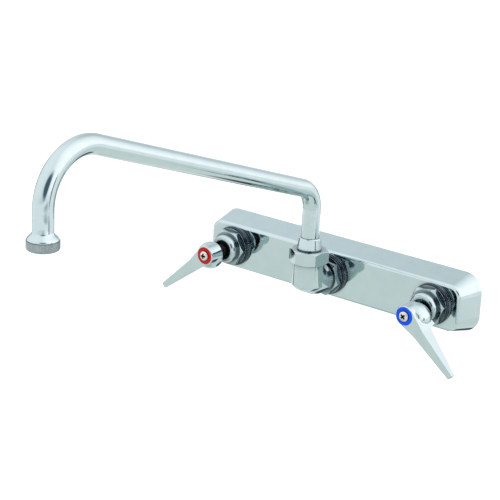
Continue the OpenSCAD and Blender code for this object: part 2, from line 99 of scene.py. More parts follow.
# %% [markdown]
# ## A studio for chrome
# The floor is a wide white sheet well below the faucet, which hangs on a wall that isn't shown. Its paint is very
# pale and matt, so the soft shadow of the faucet stays on it.
# %% Lay the floor
FLOOR, FLOOR_HALF = -0.35, 9      # the floor's height, and half its width
mesh = bpy.data.meshes.new("floor")
SQUARE = ((-1, -1), (1, -1), (1, 1), (-1, 1))
mesh.from_pydata([(x * FLOOR_HALF, y * FLOOR_HALF, FLOOR) for x, y in SQUARE], [], [(0, 1, 2, 3)])
floor = bpy.data.objects.new("floor", mesh)
bpy.context.scene.collection.objects.link(floor)
paper = bpy.data.materials.new("paper")
paper.use_nodes = True
coat = paper.node_tree.nodes["Principled BSDF"].inputs
for key, value in (("Base Color", (0.93, 0.935, 0.935, 1)), ("Roughness", 0.9), ("Specular IOR Level", 0.1)):
    coat[key].default_value = value
mesh.materials.append(paper)

# %% [markdown]
# Chrome has almost no colour of its own: what the eye reads as chrome is the room in it. A product studio lights it
# with a white sweep all round, a large soft box, and dark cards that put dark bands along the edges of the nuts and
# the tube. Lights can only add to a reflection, so a card is a square whose finish glows in the card's own dark
# colour and fades out in an oval. Only reflections see it, so it never stands in a picture's way.
# %% Make soft oval cards


def towards(lon, lat):
    """The direction lon degrees round from the user, towards +X, and lat degrees up."""
    a, e = math.radians(lon), math.radians(lat)
    return Vector((math.sin(a) * math.cos(e), -math.cos(a) * math.cos(e), math.sin(e)))


def card_finish(name, colour, soft):
    """An emitting finish that fades out towards the card's oval edge, over the share soft of its radius."""
    finish = bpy.data.materials.new(name)
    finish.use_nodes = True
    nodes, links = finish.node_tree.nodes, finish.node_tree.links
    nodes.clear()
    spot = nodes.new("ShaderNodeTexCoord")
    radius = nodes.new("ShaderNodeVectorMath")
    radius.operation = "LENGTH"
    fade = nodes.new("ShaderNodeMapRange")
    fade.interpolation_type = "SMOOTHSTEP"
    fade.inputs["From Min"].default_value = 1.0
    fade.inputs["From Max"].default_value = 1.0 - soft
    glow = nodes.new("ShaderNodeEmission")
    glow.inputs["Color"].default_value = (*colour, 1)
    clear = nodes.new("ShaderNodeBsdfTransparent")
    blend = nodes.new("ShaderNodeMixShader")
    output = nodes.new("ShaderNodeOutputMaterial")
    links.new(spot.outputs["Object"], radius.inputs[0])
    links.new(radius.outputs["Value"], fade.inputs["Value"])
    links.new(fade.outputs["Result"], blend.inputs["Fac"])
    links.new(clear.outputs[0], blend.inputs[1])
    links.new(glow.outputs[0], blend.inputs[2])
    links.new(blend.outputs[0], output.inputs["Surface"])
    return finish


def oval(name, colour, soft, across, along, out, middle):
    """A soft oval that only mirrors see. across and along are its two half widths, out is the way that it faces."""
    mesh = bpy.data.meshes.new(name)
    mesh.from_pydata([(x, y, 0) for x, y in SQUARE], [], [(0, 1, 2, 3)])
    mesh.materials.append(card_finish(name, colour, soft))
    piece = bpy.data.objects.new(name, mesh)
    bpy.context.scene.collection.objects.link(piece)
    piece.matrix_world = Matrix((
        (across.x, along.x, out.x, middle.x),
        (across.y, along.y, out.y, middle.y),
        (across.z, along.z, out.z, middle.z),
        (0, 0, 0, 1)))
    piece.visible_camera = piece.visible_shadow = piece.visible_diffuse = False


print("studio: cards ready to hang")

# %% [markdown]
# Four cards stand in a ring round the faucet. A face that looks down mirrors the floor instead, and the floor would
# hide a low card, so six more of the same ovals lie on it as mats: a wide pale one that gives the casing's front its
# even tone, and smaller ones for single bands on the tube, the elbow and its nuts. Cards are placed by direction and
# size in degrees, because that is what a mirror shows of them, and mats in metres, because the floor is flat.
# %% Hang the cards and lay the mats
CENTRE = Vector((0, -0.17, 0.07))      # the middle of the faucet, which the cards face
CARD_AWAY, MAT_STEP = 1.5, 0.002       # from the middle to a card, and from one mat up to the next


def card(name, lon, lat, wide, high, colour, soft):
    """A card lon degrees round and lat degrees up, wide by high degrees across, that faces the faucet."""
    out = towards(lon, lat)
    side = Vector((math.cos(math.radians(lon)), math.sin(math.radians(lon)), 0))
    w, h = (CARD_AWAY * math.tan(math.radians(v / 2)) for v in (wide, high))
    oval(name, colour, soft, side * w, out.cross(side) * h, out, CENTRE + out * CARD_AWAY)


def mat(name, x, y, wide, deep, turn, colour, soft, layer):
    """A mat on the floor round (x, y), wide by deep metres, turned by so many degrees, so many steps up."""
    a = math.radians(turn)
    across = Vector((math.cos(a), math.sin(a), 0)) * (wide / 2)
    along = Vector((-math.sin(a), math.cos(a), 0)) * (deep / 2)
    oval(name, colour, soft, across, along, Vector((0, 0, 1)), Vector((x, y, FLOOR + MAT_STEP * layer)))


# Cards: degrees round and up, degrees wide and high, colour, share of the radius that fades.
card("camera_card", 40, 20, 56, 46, (0.10, 0.16, 0.22), 0.55)
card("left_strip", -100, -6, 20, 50, (0.10, 0.16, 0.19), 0.5)
card("right_strip", 98, -4, 13, 26, (0.10, 0.15, 0.19), 0.5)
card("rear_strip", 184, -10, 22, 36, (0.22, 0.30, 0.34), 0.6)
# Mats: x, y, metres wide and deep, degrees turned, colour, share of the radius that fades, steps up.
mat("bench_mat", 0, -0.2, 3.2, 3.2, 0, (1.003, 1.048, 1.01), 0.45, 1)
mat("right_mat", -0.02, 0.31, 0.31, 0.42, 15, (0.06, 0.10, 0.12), 0.25, 2)
mat("left_mat", -0.95, -0.08, 0.5, 0.22, 15, (0.12, 0.18, 0.20), 0.5, 5)
mat("rear_mat", -0.25, 0.42, 0.7, 0.5, 30, (0.34, 0.43, 0.45), 0.7, 3)
mat("shade_mat", -0.14, -0.16, 0.5, 0.5, 0, (0.60, 0.68, 0.66), 0.8, 4)
mat("front_mat", 2.3, -1.15, 2.9, 2.9, 0, (0.62, 0.72, 0.75), 0.95, 6)
print("studio: four cards and six mats")

# %% [markdown]
# The world is the sweep. What it gives depends only on the direction: an even light, a smooth swell for the soft box
# on the right, behind the faucet, a smaller one high on the left, and two shallow dips behind the faucet that tone
# the casing's top and the upper edge of the tube. A picture of a studio could do this too, but a few directions with
# an amount each are easier to move about, and they simply add up.
# %% Paint the sweep
world = bpy.data.worlds.new("sweep")
bpy.context.scene.world = world
world.use_nodes = True
nodes, links = world.node_tree.nodes, world.node_tree.links
ray = nodes.new("ShaderNodeTexCoord")


def swell(lon, lat, spread, amount):
    """A socket that is amount in one direction and falls to 0 spread degrees away from it."""
    dot = nodes.new("ShaderNodeVectorMath")
    dot.operation = "DOT_PRODUCT"
    dot.inputs[1].default_value = towards(lon, lat)
    links.new(ray.outputs["Generated"], dot.inputs[0])
    fall = nodes.new("ShaderNodeMapRange")
    fall.interpolation_type = "SMOOTHSTEP"
    fall.inputs["From Min"].default_value = math.cos(math.radians(spread))
    fall.inputs["From Max"].default_value = 1.0
    fall.inputs["To Max"].default_value = amount
    links.new(dot.outputs["Value"], fall.inputs["Value"])
    return fall.outputs["Result"]


# Each row: degrees round, degrees up, degrees from its middle to its edge, amount.
SWELLS = ((118, 26, 75, 0.68), (-50, 45, 80, 0.30), (-143, 18, 50, -0.13), (178, 40, 42, -0.16))
EVEN = 1.0

total, *rest = [swell(*row) for row in SWELLS]
for part in rest:
    plus = nodes.new("ShaderNodeMath")
    links.new(total, plus.inputs[0])
    links.new(part, plus.inputs[1])
    total = plus.outputs[0]
base = nodes.new("ShaderNodeMath")
base.inputs[1].default_value = EVEN
links.new(total, base.inputs[0])
links.new(base.outputs[0], nodes["Background"].inputs["Strength"])
print("sweep:", len(SWELLS), "swells and dips")

# %% [markdown]
# White paper under lamps is a little warmer where the light is strong and cooler where it thins out, and the chrome
# shows it, so the sweep's colour follows its strength. The tint and the shape are for light and reflections only. A
# catalogue picture has a plain white ground, so the world asks what kind of ray looks at it and gives the camera
# plain white.
# %% Tint the sweep and keep the ground white
COOL, WARM = (1.034, 1.084, 1.116, 1), (1.16, 1.02, 1.01, 1)
warmth = nodes.new("ShaderNodeMix")
warmth.data_type = "RGBA"
for key, colour in ((6, COOL), (7, WARM)):      # the two colour sockets of a Mix node
    warmth.inputs[key].default_value = colour
links.new(total, warmth.inputs["Factor"])
links.new(warmth.outputs[2], nodes["Background"].inputs["Color"])
plain = nodes.new("ShaderNodeBackground")
plain.inputs["Color"].default_value = (1, 1, 1, 1)
look = nodes.new("ShaderNodeLightPath")
choice = nodes.new("ShaderNodeMixShader")
links.new(look.outputs["Is Camera Ray"], choice.inputs["Fac"])
links.new(nodes["Background"].outputs[0], choice.inputs[1])
links.new(plain.outputs[0], choice.inputs[2])
links.new(choice.outputs[0], nodes["World Output"].inputs["Surface"])
print("sweep: tinted, and plain white for the camera")

# %% [markdown]
# ## Finishes
# Polished chrome plate over brass is a nearly perfect mirror with a faint blue cast. Close up it is never quite
# even: the buffing wheel leaves a soft haze that comes and goes, the metal under the plate has a very shallow
# orange peel, and edges are rounded by a few tenths of a millimetre, which is where the bright hairlines along a
# nut come from. Each of those is one small group of nodes here, so a metal is described by a handful of numbers.
# Painted maps would need every piece unwrapped; noise in object coordinates needs nothing and has no seams.
# %% Tools for mixing finishes


class Mix:
    """One finish and short ways to add nodes to it. Patterns read the piece's own object coordinates, in metres."""

    def __init__(self, name):
        self.finish = bpy.data.materials.new(name)
        self.finish.use_nodes = True
        self.nodes, self.links = self.finish.node_tree.nodes, self.finish.node_tree.links
        self.shader = self.nodes["Principled BSDF"]
        self.place = self.nodes.new("ShaderNodeTexCoord").outputs["Object"]

    def add(self, kind, **settings):
        """A node with these settings."""
        node = self.nodes.new(kind)
        for key, value in settings.items():
            setattr(node, key, value)
        return node

    def noise(self, per_metre, detail):
        """Noise with so many features to the metre."""
        turn = self.add("ShaderNodeMapping")
        turn.inputs["Scale"].default_value = [per_metre] * 3
        self.links.new(self.place, turn.inputs["Vector"])
        grain = self.add("ShaderNodeTexNoise")
        grain.inputs["Scale"].default_value = 1.0
        grain.inputs["Detail"].default_value = detail
        self.links.new(turn.outputs[0], grain.inputs["Vector"])
        return grain.outputs["Fac"]

    def span(self, socket, low, high, start=0.3, end=0.7):
        """The socket's values from start to end, spread between low and high."""
        ramp = self.add("ShaderNodeMapRange")
        for key, value in (("From Min", start), ("From Max", end), ("To Min", low), ("To Max", high)):
            ramp.inputs[key].default_value = value
        self.links.new(socket, ramp.inputs["Value"])
        return ramp.outputs["Result"]

    def blend(self, socket, first, second):
        """A colour between first and second, as the socket goes from 0 to 1. Either may be a socket."""
        mix = self.add("ShaderNodeMix", data_type="RGBA")
        self.links.new(socket, mix.inputs["Factor"])
        for key, colour in ((6, first), (7, second)):      # the two colour sockets of a Mix node
            if hasattr(colour, "links"):
                self.links.new(colour, mix.inputs[key])
            else:
                mix.inputs[key].default_value = (*colour, 1)
        return mix.outputs[2]

    def sum(self, first, second):
        """The two sockets added up."""
        node = self.add("ShaderNodeMath", operation="ADD")
        self.links.new(first, node.inputs[0])
        self.links.new(second, node.inputs[1])
        return node.outputs[0]

    def set(self, colour, rough, **constants):
        """Links the colour and the roughness, sets the shader's constants and returns the finish."""
        self.links.new(colour, self.shader.inputs["Base Color"])
        self.links.new(rough, self.shader.inputs["Roughness"])
        for key, value in constants.items():
            self.shader.inputs[key.replace("_", " ").title().replace("Ior", "IOR")].default_value = value
        return self.finish


print("finishes: tools ready")

# %% [markdown]
# No real edge is sharp, and no corner stays clean. Bevels in the meshes would round the edges too, but the frame's
# solids stay as they are, so the Bevel node only bends the light there, as if the edge were round. The Ambient
# Occlusion node feels how open each place is; the finishes paint the narrow places darker, as polish and lime and as
# painted shade.
# %% Round the edges and find the crevices
SAMPLES = 6      # rays for each


def bumps(mix, height, depth, edge):
    """Gives a finish bumps of that depth in metres, over edges rounded by that radius in metres."""
    bump = mix.add("ShaderNodeBump")
    bump.inputs["Strength"].default_value = 1.0
    bump.inputs["Distance"].default_value = depth
    mix.links.new(height, bump.inputs["Height"])
    soft = mix.add("ShaderNodeBevel", samples=SAMPLES)
    soft.inputs["Radius"].default_value = edge
    mix.links.new(soft.outputs[0], bump.inputs["Normal"])
    mix.links.new(bump.outputs[0], mix.shader.inputs["Normal"])


def openness(mix, reach):
    """A socket that is 1 on open faces and falls towards 0 in corners narrower than reach."""
    shade = mix.add("ShaderNodeAmbientOcclusion", samples=SAMPLES)
    shade.inputs["Distance"].default_value = reach
    return shade.outputs["AO"]


print("edges and crevices ready")

# %% [markdown]
# ## Metals
# Every metal here is the same recipe with other numbers: two close tints, a cloudy haze in the roughness, a fine
# grain, a shallow relief, rounded edges, and a darker colour painted into the crevices, for polish and lime and for
# painted shade. Two of them are the same chrome plate: the nuts, washers and the elbow stand close together and
# mirror each other's shade, so on them that painted shade reaches further out of the crevices than on the open
# pieces.
# %% Mix the metals
GRAIN_DULLS = 0.02      # how much the grain adds to the roughness


def metal(name, tint, haze, rough, relief, depth, edge, dirt_and_shade, reach=0.0018, clear=(0.1, 0.8)):
    """tint: (light, dark); haze: features to the metre; rough: (smooth, dull); relief, depth: its bumps;
    edge: radius of its edges; dirt_and_shade: the colour painted into its crevices, which are narrower than reach,
    for the dirt there and for painted shade; clear: how open a place is where that painted colour starts to fade, and
    where it has gone."""
    mix = Mix(name)
    cloud = mix.noise(haze, detail=4)
    grain = mix.noise(relief, detail=2)
    tone = mix.blend(mix.span(cloud, 0, 1, 0.35, 0.65), *tint)
    open_face = mix.span(openness(mix, reach), 0, 1, *clear)
    # Painted shade and dirt: the crevice colour goes wherever the place is closed in.
    colour = mix.blend(open_face, dirt_and_shade, tone)
    dull = mix.sum(mix.span(cloud, *rough), mix.span(grain, 0, GRAIN_DULLS))
    bumps(mix, grain, depth, edge)
    return mix.set(colour, dull, metallic=1.0)


PLATE = dict(tint=((0.485, 0.58, 0.59), (0.46, 0.56, 0.575)), haze=90, rough=(0.035, 0.06), relief=220,
             depth=0.0000025, edge=0.0005)
# The crevice colours below are partly dirt and partly painted shade.
METALS = {
    "chrome": dict(PLATE, dirt_and_shade=(0.07, 0.11, 0.125), reach=0.008),
    # On the nuts, washers and elbow the crevice colour is nearly all painted shade, the dark that near parts mirror.
    "shaded_fitting": dict(PLATE, dirt_and_shade=(0.025, 0.05, 0.07), reach=0.03, clear=(0.42, 1.0)),
    "dark_chrome": dict(tint=((0.06, 0.078, 0.095), (0.04, 0.055, 0.07)), haze=300, rough=(0.08, 0.16),
                        relief=900, depth=0.000006, edge=0.0002, dirt_and_shade=(0.01, 0.015, 0.02), reach=0.01),
    "brass": dict(tint=((0.64, 0.47, 0.22), (0.50, 0.34, 0.15)), haze=240, rough=(0.38, 0.62),
                  relief=1400, depth=0.00004, edge=0.0003, dirt_and_shade=(0.12, 0.08, 0.04)),
    # The screw's near-black crevice colour is painted shade inside its cross recess.
    "screw_steel": dict(tint=((0.66, 0.64, 0.60), (0.56, 0.55, 0.52)), haze=300, rough=(0.2, 0.3),
                        relief=1800, depth=0.000006, edge=0.0002, dirt_and_shade=(0.006, 0.006, 0.008), reach=0.003,
                        clear=(0.45, 0.95)),
    "steel": dict(tint=((0.29, 0.345, 0.355), (0.24, 0.285, 0.30)), haze=300, rough=(0.22, 0.34),
                  relief=1800, depth=0.000008, edge=0.0003, dirt_and_shade=(0.10, 0.10, 0.10)),
    # The stems' near-black tint is painted shade for their place deep in the bonnets.
    "shaded_stem": dict(tint=((0.10, 0.095, 0.09), (0.05, 0.05, 0.05)), haze=400, rough=(0.3, 0.5),
                      relief=1500, depth=0.00001, edge=0.0002, dirt_and_shade=(0.01, 0.01, 0.01)),
}
FINISH = {name: metal(name, **recipe) for name, recipe in METALS.items()}
print("metals:", ", ".join(FINISH))

# %% [markdown]
# ## Plastics, rubber and ceramic
# The index rings are hard glossy plastic with a slight sink. The seals are black rubber with a bloom, and the
# valve's discs are lapped ceramic, which is matt and faintly mottled.
# %% Mix the rest
SOLID_EDGE = 0.0002


def solid(name, tint, cloud_size, rough, relief, depth, **constants):
    """A finish that isn't metal: two close tints, a roughness that varies and a shallow relief."""
    mix = Mix(name)
    cloud = mix.noise(cloud_size, detail=3)
    colour = mix.blend(mix.span(cloud, 0, 1), *tint)
    bumps(mix, mix.noise(relief, detail=2), depth, SOLID_EDGE)
    return mix.set(colour, mix.span(cloud, *rough), **constants)


RING = dict(cloud_size=260, rough=(0.3, 0.42), relief=900, depth=0.00002)
SOLIDS = {
    "rubber": dict(tint=((0.022, 0.022, 0.024), (0.045, 0.045, 0.047)), cloud_size=700, rough=(0.5, 0.75),
                   relief=5000, depth=0.00002),
    "ceramic": dict(tint=((0.82, 0.82, 0.78), (0.70, 0.70, 0.66)), cloud_size=500, rough=(0.3, 0.45),
                    relief=6000, depth=0.000005),
    "red_index": dict(RING, tint=((0.42, 0.001, 0.003), (0.34, 0.001, 0.002)), specular_ior_level=0.18),
    "blue_index": dict(RING, tint=((0.0, 0.070, 0.66), (0.0, 0.055, 0.55)), specular_ior_level=0.12),
}
FINISH.update((name, solid(name, **recipe)) for name, recipe in SOLIDS.items())
print("finishes:", len(FINISH))

# %% [markdown]
# ## Dress the frame
# The record names a material slot for every node, so the finishes go on by that list. The stems are the same brass
# as the rest of the valve, but they sit deep in the bonnets, so they get a finish of their own, nearly black, which
# is painted shade; the chrome pieces that stand close together get theirs, with more painted shade in their crevices.
# %% Put the finishes on the nodes


def dress(piece, finish):
    """Gives a piece one finish and takes away what it had."""
    piece.data.materials.clear()
    piece.data.materials.append(FINISH[finish])


OWN = {"shaded_stem": ("hot_stem", "cold_stem"),
       "shaded_fitting": ("hot_bonnet", "cold_bonnet", "elbow_lock_nut", "elbow", "hot_face_washer", "cold_face_washer",
                   "outlet_face_washer")}
for part in frame["record"]["subparts"]:
    dress(frame["nodes"][part["node"]], part["material_slot"])
for finish, names in OWN.items():
    for node in names:
        dress(frame["nodes"][node], finish)
print("dressed", len(frame["nodes"]), "nodes")

# %% [markdown]
# ## Lever handles
# A real lever is cast in one piece and buffed, so the hub, the round lobe behind it and the flat lever flow into
# each other with small fillets that a sum of solids doesn't have. Rebuilding that by hand would be slow. Instead a
# copy of the frame's own solid is remeshed into even little faces, and those are relaxed, which rounds every inside
# and outside corner by about a millimetre. The pocket for the index ring must stay crisp, so it is plugged before
# the remesh and cut again after it. A slanting face would come out of the remesh with tiny steps, so the lever is
# turned level and its tapering sides are made parallel first, and both are undone after it.
# %% Tools for making pieces
WELD = 1e-7      # points nearer than this are one point


def new_object(name, mesh):
    """An object for a mesh, at the origin and unturned, so that its place is in its mesh."""
    piece = bpy.data.objects.new(name, mesh)
    bpy.context.scene.collection.objects.link(piece)
    return piece


def copy_of(node, name):
    """A free copy of a frame node, its loose triangles joined."""
    shape = bmesh.new()
    shape.from_mesh(frame["nodes"][node].data)
    bmesh.ops.remove_doubles(shape, verts=shape.verts, dist=WELD)
    mesh = bpy.data.meshes.new(name)
    shape.to_mesh(mesh)
    shape.free()
    return new_object(name, mesh)


def object_from(shape, name):
    """An object from a shape, with its faces turned outwards. The shape is used up."""
    bmesh.ops.recalc_face_normals(shape, faces=shape.faces)
    mesh = bpy.data.meshes.new(name)
    shape.to_mesh(mesh)
    shape.free()
    return new_object(name, mesh)


def circle(shape, x, radius, y, sides):
    """A ring of points round the valve axis at x."""
    turns = [2 * math.pi * k / sides for k in range(sides)]
    return [shape.verts.new((x + radius * math.cos(a), y, radius * math.sin(a))) for a in turns]


def close(shape, first, second):
    """Closes the gap between two rings of equally many points with faces."""
    for k in range(len(first)):
        shape.faces.new((first[k - 1], first[k], second[k], second[k - 1]))


def rod(name, radius, x, start, end, sides=96):
    """A plain closed rod on the valve axis at x, from start to end along y."""
    shape = bmesh.new()
    rings = [circle(shape, x, radius, y, sides) for y in (start, end)]
    close(shape, *rings)
    shape.faces.new(rings[0])
    shape.faces.new(rings[1][::-1])
    return object_from(shape, name)


print("tools for making pieces ready")

# %% [markdown]
# The lever is remeshed, smoothed and cut by modifiers. Left on the piece, they would run again at every export, and
# a boolean needs its tool to stay in the scene, so each is turned into plain faces as soon as it has done its work.
# Shading goes by the angle between two faces: a machined edge stays crisp and a rounded one flows.
# %% Tools for changing pieces


def bake(piece):
    """Turns a piece and its modifiers into one plain mesh."""
    seen = piece.evaluated_get(bpy.context.evaluated_depsgraph_get())
    mesh = bpy.data.meshes.new_from_object(seen)
    piece.modifiers.clear()
    piece.data = mesh
    return piece


def join_or_cut(piece, tool, operation):
    """Adds the tool to the piece (UNION) or cuts it away (DIFFERENCE), and removes the tool."""
    step = piece.modifiers.new("step", "BOOLEAN")
    step.operation = operation
    step.solver = "EXACT"
    step.object = tool
    bake(piece)
    bpy.data.objects.remove(tool)


def smooth_by_angle(piece, degrees):
    """Smooth faces, with a crease wherever two faces meet at more than that angle."""
    shape = bmesh.new()
    shape.from_mesh(piece.data)
    for face in shape.faces:
        face.smooth = True
    for edge in shape.edges:
        edge.smooth = len(edge.link_faces) == 2 and edge.calc_face_angle(0) < math.radians(degrees)
    shape.to_mesh(piece.data)
    shape.free()


print("tools for changing pieces ready")

# %% [markdown]
# The lever droops from its hub and tapers from its shoulder to its tip, in width and in depth. To make its sides
# parallel, every point is scaled by how far out it lies, and the same rule run backwards brings the taper back. A
# lattice could do it by eye; with the solid's own sizes it is exact both ways.
# %% Measure the lever
VALVE_X = {"hot": -0.1016, "cold": 0.1016}
DROOP = {"hot": -40.5, "cold": 40.5}                        # degrees down from level, left and right
SHOULDER, LEVER_END = 0.0186, 0.06                          # from the valve axis
THINNER, SHALLOWER = 0.00235 / 0.0049, 0.0042 / 0.0124      # tip over shoulder, in width and in depth
FACE_SINK = 0.0003                                          # the lever's face, behind the hub's


def taper(piece, x, face, way, power):
    """Gives the lever its taper beyond the shoulder (power 1), or takes it away (power -1)."""
    for v in piece.data.vertices:
        share = min(max((way * (v.co.x - x) - SHOULDER) / (LEVER_END - SHOULDER), 0), 1)
        v.co.z *= (1 + (THINNER - 1) * share) ** power
        v.co.y = face + (v.co.y - face) * (1 + (SHALLOWER - 1) * share) ** power


print("lever:", round((LEVER_END - SHOULDER) * 1000, 1), "mm of taper")

# %% [markdown]
# Now the steps in order: plug the pocket, level, straighten, remesh, relax, taper, turn back, cut the pocket. How far
# a corner rounds depends on the size of the new faces and on how often they are relaxed, so the two numbers go
# together.
# %% Relax the lever handles
POCKET_R, CUT_PAST = 0.0075, 0.001                              # the pocket, and how far the cut starts off the hub
PLUG_WIDER, PLUG_DEEPER, PLUG_SHY = 0.0003, 0.0004, 0.00002     # the plug, against the pocket and the hub's face
GRID, RELAX = ((0.00027, 10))


def lever(side):
    """Stands a relaxed lever in for one side's node."""
    node = side + "_lever_handle"
    piece = copy_of(node, node + "_cast")
    front = -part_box(node)[0].y
    pocket_floor = -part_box(side + "_index_ring")[1].y
    x = VALVE_X[side]
    plug = rod("plug", POCKET_R + PLUG_WIDER, x, -(pocket_floor - PLUG_DEEPER), -(front - PLUG_SHY))
    join_or_cut(piece, plug, "UNION")
    axis = Matrix.Translation((x, 0, 0))
    level = axis @ Matrix.Rotation(math.radians(-DROOP[side]), 4, "Y") @ axis.inverted()
    face, way = -(front - FACE_SINK), math.copysign(1, DROOP[side])
    piece.data.transform(level)
    taper(piece, x, face, way, -1)
    grid = piece.modifiers.new("grid", "REMESH")
    grid.mode = "VOXEL"
    grid.voxel_size = GRID
    relax = piece.modifiers.new("relax", "SMOOTH")
    relax.factor = 0.5
    relax.iterations = RELAX
    bake(piece)
    taper(piece, x, face, way, 1)
    piece.data.transform(level.inverted())
    join_or_cut(piece, rod("pocket", POCKET_R, x, -pocket_floor, -(front + CUT_PAST)), "DIFFERENCE")
    smooth_by_angle(piece, degrees=40)
    dress(piece, "chrome")
    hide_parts(node)
    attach(piece, side + "_handle")
    print(piece.name, len(piece.data.polygons), "faces")


for side in VALVE_X:
    lever(side)

# %% [markdown]
# ## The swing nozzle
# The nozzle is one tube: straight up out of the elbow, a tight bend, a long straight run that climbs towards the
# user, a wide bend and a short drop to the outlet. Its shape follows a rule, a circle carried along a line whose
# two corners are rounded by their own radii, so Geometry Nodes draw it from named sizes. The tube then keeps an
# even row of faces all the way round the bends, which a mirror finish shows at once.
# %% Tools for Geometry Nodes


class Tree:
    """A Geometry Nodes tree with short ways to add inputs, nodes and links."""

    def __init__(self, name):
        self.group = bpy.data.node_groups.new(name, "GeometryNodeTree")
        self.group.interface.new_socket("Geometry", in_out="INPUT", socket_type="NodeSocketGeometry")
        self.group.interface.new_socket("Geometry", in_out="OUTPUT", socket_type="NodeSocketGeometry")
        self.start = self.group.nodes.new("NodeGroupInput")
        self.end = self.group.nodes.new("NodeGroupOutput")
        self.ids = {}

    def size(self, name, kind="NodeSocketFloat"):
        """Adds a named input."""
        self.ids[name] = self.group.interface.new_socket(name, in_out="INPUT", socket_type=kind).identifier

    def given(self, name):
        """The socket of a named input."""
        return self.start.outputs[name]

    def add(self, kind, inputs=None, **settings):
        """A node with these settings. Each input is a value or a socket to link."""
        node = self.group.nodes.new(kind)
        for key, value in settings.items():
            setattr(node, key, value)
        for key, value in (inputs or {}).items():
            if hasattr(value, "links"):
                self.group.links.new(value, node.inputs[key])
            else:
                node.inputs[key].default_value = value
        return node

    def finish(self, geometry, material):
        """Ends the tree in Realize Instances and Set Material."""
        real = self.add("GeometryNodeRealizeInstances", {"Geometry": geometry})
        paint = self.add("GeometryNodeSetMaterial", {"Geometry": real.outputs[0], "Material": material})
        self.group.links.new(paint.outputs[0], self.end.inputs[0])

    def grow(self, piece, sizes):
        """Runs the tree on a piece with these sizes and turns the result into a plain mesh."""
        step = piece.modifiers.new("tree", "NODES")
        step.node_group = self.group
        for name, value in sizes.items():
            step[self.ids[name]] = value
        return bake(piece)


def line(name, points):
    """A mesh of one open line through these points, for a tree to read."""
    mesh = bpy.data.meshes.new(name)
    mesh.from_pydata(points, [(k, k + 1) for k in range(len(points) - 1)], [])
    return new_object(name, mesh)


print("tools for Geometry Nodes ready")

# %% [markdown]
# The line through the tube has four points: its foot, its two corners and the end of its leg. The corners have two
# radii, so the tree asks each corner for its number, and number 1 is the rear one. The bore is a thinner circle
# carried along the same line, with its faces turned round so that they point out of the metal. A curve object with
# a round bevel would be simpler, but it has no bore and no named radii.
# %% Draw the nozzle's tube
RISER_Y, REACH, RISE = -0.0547, 0.3048, 0.0997
CORNER_Z, FOOT_Z, LEG_END_Z = 0.07865, 0.0137, 0.1111
TUBE_R, TUBE_WALL, REAR_BEND, FRONT_BEND = 0.0075, 0.0012, 0.022, 0.038
FACES_ROUND, FACES_IN_BEND = 96, 40

tree = Tree("bent_tube")
for name in ("Tube radius", "Wall", "Rear bend", "Front bend"):
    tree.size(name)
for name in ("Faces round", "Faces in a bend"):
    tree.size(name, "NodeSocketInt")
path = tree.add("GeometryNodeMeshToCurve", {"Mesh": tree.given("Geometry")})
corner = tree.add("GeometryNodeInputIndex")
# Sockets 2 and 3 of a Compare node are its two whole numbers.
first = tree.add("FunctionNodeCompare", {2: corner.outputs[0], 3: 1}, data_type="INT", operation="EQUAL")
bend = tree.add("GeometryNodeSwitch", {0: first.outputs[0], 1: tree.given("Front bend"),
                                       2: tree.given("Rear bend")}, input_type="FLOAT")
rounded = tree.add("GeometryNodeFilletCurve", {"Curve": path.outputs[0], "Radius": bend.outputs[0],
                                               "Count": tree.given("Faces in a bend")}, mode="POLY")
outer = tree.add("GeometryNodeCurvePrimitiveCircle", {"Resolution": tree.given("Faces round"),
                                                      "Radius": tree.given("Tube radius")})
inner_r = tree.add("ShaderNodeMath", {0: tree.given("Tube radius"), 1: tree.given("Wall")}, operation="SUBTRACT")
inner = tree.add("GeometryNodeCurvePrimitiveCircle", {"Resolution": tree.given("Faces round"),
                                                      "Radius": inner_r.outputs[0]})
skin = tree.add("GeometryNodeCurveToMesh", {"Curve": rounded.outputs[0], "Profile Curve": outer.outputs[0]})
bore = tree.add("GeometryNodeCurveToMesh", {"Curve": rounded.outputs[0], "Profile Curve": inner.outputs[0]})
turned = tree.add("GeometryNodeFlipFaces", {"Mesh": bore.outputs[0]})
both = tree.add("GeometryNodeJoinGeometry")
tree.group.links.new(skin.outputs[0], both.inputs[0])
tree.group.links.new(turned.outputs[0], both.inputs[0])
soft = tree.add("GeometryNodeSetShadeSmooth", {"Geometry": both.outputs[0]})
tree.finish(soft.outputs[0], FINISH["chrome"])

far_y = RISER_Y - REACH
tube = line("nozzle_tube", [(0, RISER_Y, FOOT_Z), (0, RISER_Y, CORNER_Z),
                            (0, far_y, CORNER_Z + RISE), (0, far_y, LEG_END_Z)])
tree.grow(tube, {"Tube radius": TUBE_R, "Wall": TUBE_WALL, "Rear bend": REAR_BEND, "Front bend": FRONT_BEND,
                 "Faces round": FACES_ROUND, "Faces in a bend": FACES_IN_BEND})
print("nozzle tube:", len(tube.data.polygons), "faces")

# %% [markdown]
# ## The nozzle's mouth and foot
# At the outlet the tube is spun out into a short flare that takes the threaded tip. Its outline is a row of radii
# and heights: a cone, a straight rim with a small chamfer, the threaded end that the tip screws onto, and the mouth
# inside it. Spun metal bends rather than folds, so the cone is mixed with half a wave of a cosine.
# %% Draw the flare's outline
FLARE_BASE, FLARE_R, RIM, BREAK = 0.1055, 0.0111, 0.0009, 0.0002      # RIM: its straight edge; BREAK: its chamfer
SPIGOT_R, MOUTH_R, MOUTH_Z = 0.0099, 0.0086, 0.1024                   # the threaded end and the mouth in it
STEPS, STRAIGHT = 14, 0.35                                            # its rings, and its share of plain cone

